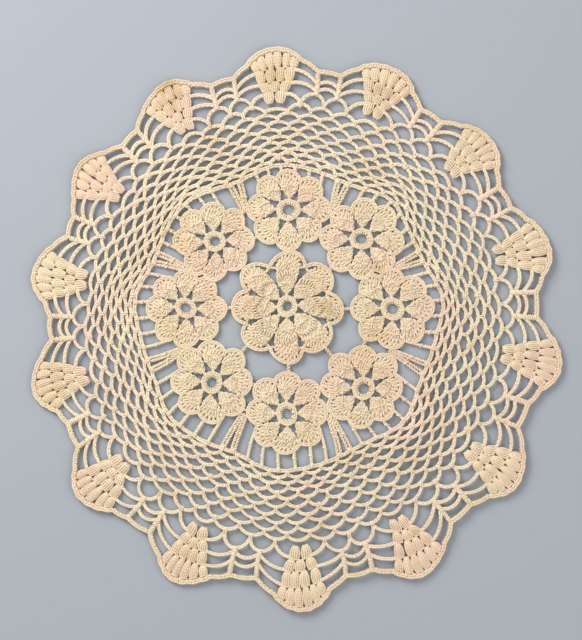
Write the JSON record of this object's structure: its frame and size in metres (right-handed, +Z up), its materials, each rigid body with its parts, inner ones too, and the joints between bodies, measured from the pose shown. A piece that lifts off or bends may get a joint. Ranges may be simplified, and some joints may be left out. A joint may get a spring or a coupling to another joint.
{
  "type": "crochet lace doily",
  "caption": "Round hand-crocheted cotton lace doily: centre flower, ring of small flowers, chain net and a scalloped border of fans, laid flat as a table cover",
  "frame": {"origin": "middle of the whole outline's bounding box, on the surface that the doily lies on", "axes": "+Z up out of the lace's face, +Y along its longest extent, towards the side where the flowers lie nearer the edge, +X to the right seen from above"},
  "size_m": [0.2348, 0.2494, 0.002],
  "materials": {
    "flower_cotton": "matt mercerised cotton thread",
    "net_cotton": "matt mercerised cotton thread",
    "fan_cotton": "matt mercerised cotton thread",
    "border_cotton": "matt mercerised cotton thread"
  },
  "bodies": {
    "root": {"centre_flower_ring": "flower_cotton", "centre_flower_petals": "flower_cotton", "centre_flower_edging": "flower_cotton", "flower_1_ring": "flower_cotton", "flower_1_petals": "flower_cotton", "flower_1_edging": "flower_cotton", "flower_2_ring": "flower_cotton", "flower_2_petals": "flower_cotton", "flower_2_edging": "flower_cotton", "flower_3_ring": "flower_cotton", "flower_3_petals": "flower_cotton", "flower_3_edging": "flower_cotton", "flower_4_ring": "flower_cotton", "flower_4_petals": "flower_cotton", "flower_4_edging": "flower_cotton", "flower_5_ring": "flower_cotton", "flower_5_petals": "flower_cotton", "flower_5_edging": "flower_cotton", "flower_6_ring": "flower_cotton", "flower_6_petals": "flower_cotton", "flower_6_edging": "flower_cotton", "flower_7_ring": "flower_cotton", "flower_7_petals": "flower_cotton", "flower_7_edging": "flower_cotton", "flower_8_ring": "flower_cotton", "flower_8_petals": "flower_cotton", "flower_8_edging": "flower_cotton", "joining_stitches": "flower_cotton", "tall_stitches": "net_cotton", "start_chain": "net_cotton", "net_round_1": "net_cotton", "net_round_2": "net_cotton", "net_round_3": "net_cotton", "net_round_4": "net_cotton", "net_round_5": "net_cotton", "net_round_6": "net_cotton", "net_round_7": "net_cotton", "net_round_8": "net_cotton", "net_round_9": "net_cotton", "fan_01": "fan_cotton", "fan_02": "fan_cotton", "fan_03": "fan_cotton", "fan_04": "fan_cotton", "fan_05": "fan_cotton", "fan_06": "fan_cotton", "fan_07": "fan_cotton", "fan_08": "fan_cotton", "fan_09": "fan_cotton", "fan_10": "fan_cotton", "fan_11": "fan_cotton", "fan_12": "fan_cotton", "fan_13": "fan_cotton", "fan_14": "fan_cotton", "arch_round_1": "net_cotton", "arch_round_2": "net_cotton", "arch_round_3": "net_cotton", "ladder_knots": "net_cotton", "border_chain": "border_cotton"}
  },
  "joints": []
}
